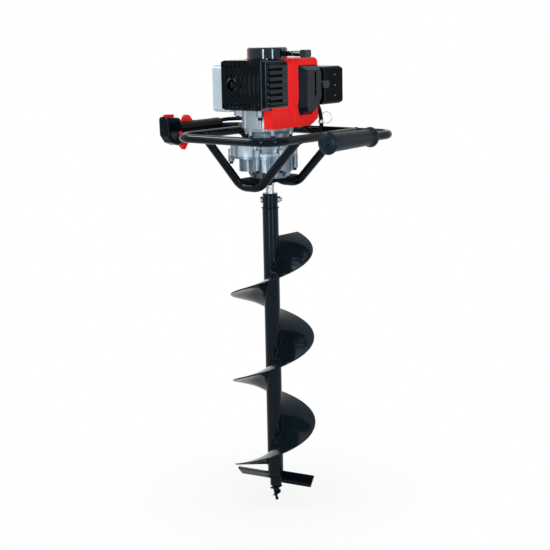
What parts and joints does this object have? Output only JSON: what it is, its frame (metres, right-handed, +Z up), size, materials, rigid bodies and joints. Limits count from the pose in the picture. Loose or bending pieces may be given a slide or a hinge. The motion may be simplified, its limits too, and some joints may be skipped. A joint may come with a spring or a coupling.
{
  "type": "earth auger",
  "caption": "Petrol one-person earth auger: vertical engine on a reduction gearbox, tubular handlebar frame with throttle handle and rubber grip, and a helical drill bit.",
  "frame": {"origin": "tip of the pilot screw, on the drill axis", "axes": "+Z up along the drill axis; -Y towards the cylinder cover and the guard's front run; +X towards the rubber grip"},
  "size_m": [0.5519, 0.393, 1.107],
  "materials": {
    "black_paint": "gloss black paint",
    "steel": "bare steel",
    "cast_aluminium": "die-cast, matt",
    "friction_lining": "friction lining",
    "ceramic": "glazed ceramic and plated steel",
    "black_rubber": "matt rubber",
    "grip_rubber": "ribbed dark slate rubber",
    "black_plastic": "satin black plastic",
    "red_plastic": "gloss red plastic",
    "tank_plastic": "milky translucent plastic",
    "filter_foam": "open foam",
    "rope": "braided cord"
  },
  "bodies": {
    "machine": {"bearings": "steel", "gearbox_lower": "cast_aluminium", "gearbox_upper": "cast_aluminium", "gearbox_bolts": "black_paint", "clutch_housing": "cast_aluminium", "crankcase": "cast_aluminium", "fan_housing": "cast_aluminium", "cylinder_block": "cast_aluminium", "spark_plug": "ceramic", "plug_lead": "black_rubber", "ignition_coil": "black_plastic", "muffler": "black_paint", "cylinder_cover": "black_plastic", "engine_shroud": "red_plastic", "side_cover": "black_plastic", "intake_manifold": "black_rubber", "carburettor": "cast_aluminium", "filter_base": "black_plastic", "filter_element": "filter_foam", "filter_cover": "black_plastic", "fuel_tank": "tank_plastic", "fuel_hose": "black_rubber", "starter_housing": "black_plastic", "base_plate": "black_paint", "base_bolts": "black_paint", "guard_tube": "black_paint", "handlebar_tube": "black_paint", "front_strut": "black_paint", "rear_strut": "black_paint", "rubber_grip": "grip_rubber", "handle_half_inner": "black_plastic", "handle_half_outer": "black_plastic", "throttle_cable": "black_rubber"},
    "auger": {"pilot_point": "black_paint", "cutting_blades": "black_paint", "flight": "black_paint", "bit_tube": "black_paint", "coupling_sleeve": "black_paint", "coupling_bolt": "steel", "output_shaft": "steel", "output_gear": "steel"},
    "layshaft": {"layshaft": "steel", "layshaft_gear": "steel"},
    "clutch_output": {"input_shaft": "steel", "clutch_drum": "steel"},
    "crank": {"crankshaft": "steel", "flywheel_fan": "cast_aluminium"},
    "shoe_a": {"clutch_shoe_a": "friction_lining"},
    "shoe_b": {"clutch_shoe_b": "friction_lining"},
    "starter_grip": {"starter_handle": "black_plastic", "starter_rope": "rope"},
    "starter_pulley": {"starter_pulley": "black_plastic"},
    "throttle_trigger": {"throttle_trigger": "red_plastic"},
    "throttle_arm": {"throttle_arm": "steel"},
    "safety_lever": {"safety_lever": "red_plastic"},
    "stop_switch": {"stop_switch": "red_plastic"},
    "lock_button": {"lock_button": "red_plastic"},
    "choke_lever": {"choke_lever": "black_plastic"},
    "primer_bulb": {"primer_bulb": "tank_plastic"},
    "fuel_cap": {"fuel_cap": "black_plastic"}
  },
  "joints": [
    {"name": "auger_spin", "type": "hinge", "parent": "machine", "child": "auger", "pos_m": [0, 0, 0.4], "axis": [0, 0, 1], "continuous": true},
    {"name": "layshaft_spin", "type": "hinge", "parent": "machine", "child": "layshaft", "pos_m": [-0.03447, -0.02892, 0.859], "axis": [0, 0, 1], "continuous": true},
    {"name": "clutch_output_spin", "type": "hinge", "parent": "machine", "child": "clutch_output", "pos_m": [0, 0, 0.891], "axis": [0, 0, 1], "continuous": true},
    {"name": "crank_spin", "type": "hinge", "parent": "machine", "child": "crank", "pos_m": [0, 0, 0.923], "axis": [0, 0, 1], "continuous": true},
    {"name": "shoe_a_swing", "type": "hinge", "parent": "crank", "child": "shoe_a", "pos_m": [0.02819, 0.01026, 0.909], "axis": [0, 0, 1], "range_deg": [-3, 0], "stiffness_Nm_per_rad": 2, "springref_deg": 1.15},
    {"name": "shoe_b_swing", "type": "hinge", "parent": "crank", "child": "shoe_b", "pos_m": [-0.02819, -0.01026, 0.909], "axis": [0, 0, 1], "range_deg": [-3, 0], "stiffness_Nm_per_rad": 2, "springref_deg": 1.15},
    {"name": "starter_pull", "type": "slide", "parent": "machine", "child": "starter_grip", "axis": [1, 0, 0], "range_m": [0, 0.55], "stiffness_N_per_m": 25, "springref_m": -0.3, "deforming": ["starter_rope"]},
    {"name": "starter_pulley_spin", "type": "hinge", "parent": "machine", "child": "starter_pulley", "pos_m": [0, 0, 1.092], "axis": [0, 0, 1], "range_deg": [-1320, 0]},
    {"name": "throttle_trigger_squeeze", "type": "hinge", "parent": "machine", "child": "throttle_trigger", "pos_m": [-0.254, -0.05, 0.886], "axis": [1, 0, 0], "range_deg": [0, 15], "stiffness_Nm_per_rad": 0.4, "springref_deg": -5.73},
    {"name": "throttle_arm_turn", "type": "hinge", "parent": "machine", "child": "throttle_arm", "pos_m": [0, 0.118, 1.028], "axis": [0, 0, 1], "range_deg": [0, 70]},
    {"name": "safety_lever_press", "type": "hinge", "parent": "machine", "child": "safety_lever", "pos_m": [-0.254, 0.006, 0.9245], "axis": [1, 0, 0], "range_deg": [0, 10], "stiffness_Nm_per_rad": 0.3, "springref_deg": -5.73},
    {"name": "stop_switch_rock", "type": "hinge", "parent": "machine", "child": "stop_switch", "pos_m": [-0.254, -0.072, 0.938], "axis": [1, 0, 0], "range_deg": [-12, 0]},
    {"name": "lock_button_press", "type": "slide", "parent": "machine", "child": "lock_button", "axis": [-1, 0, 0], "range_m": [0, 0.003], "stiffness_N_per_m": 300, "springref_m": -0.003},
    {"name": "choke_lever_turn", "type": "hinge", "parent": "machine", "child": "choke_lever", "pos_m": [0.0643, 0.134, 1.017], "axis": [1, 0, 0], "range_deg": [0, 60]},
    {"name": "primer_bulb_press", "type": "slide", "parent": "machine", "child": "primer_bulb", "axis": [0, 0, 1], "range_m": [0, 0.005], "stiffness_N_per_m": 300, "springref_m": -0.002},
    {"name": "fuel_cap_turn", "type": "hinge", "parent": "machine", "child": "fuel_cap", "pos_m": [-0.09, 0.058, 1.068], "axis": [0, 0, 1], "continuous": true}
  ],
  "couplings": [
    {"joint": "layshaft_spin", "follows": "auger_spin", "ratio": -5},
    {"joint": "clutch_output_spin", "follows": "auger_spin", "ratio": 25},
    {"joint": "starter_pulley_spin", "follows": "starter_pull", "rad_per_m": -41.667},
    {"joint": "throttle_arm_turn", "follows": "throttle_trigger_squeeze", "ratio": 4.6667}
  ]
}
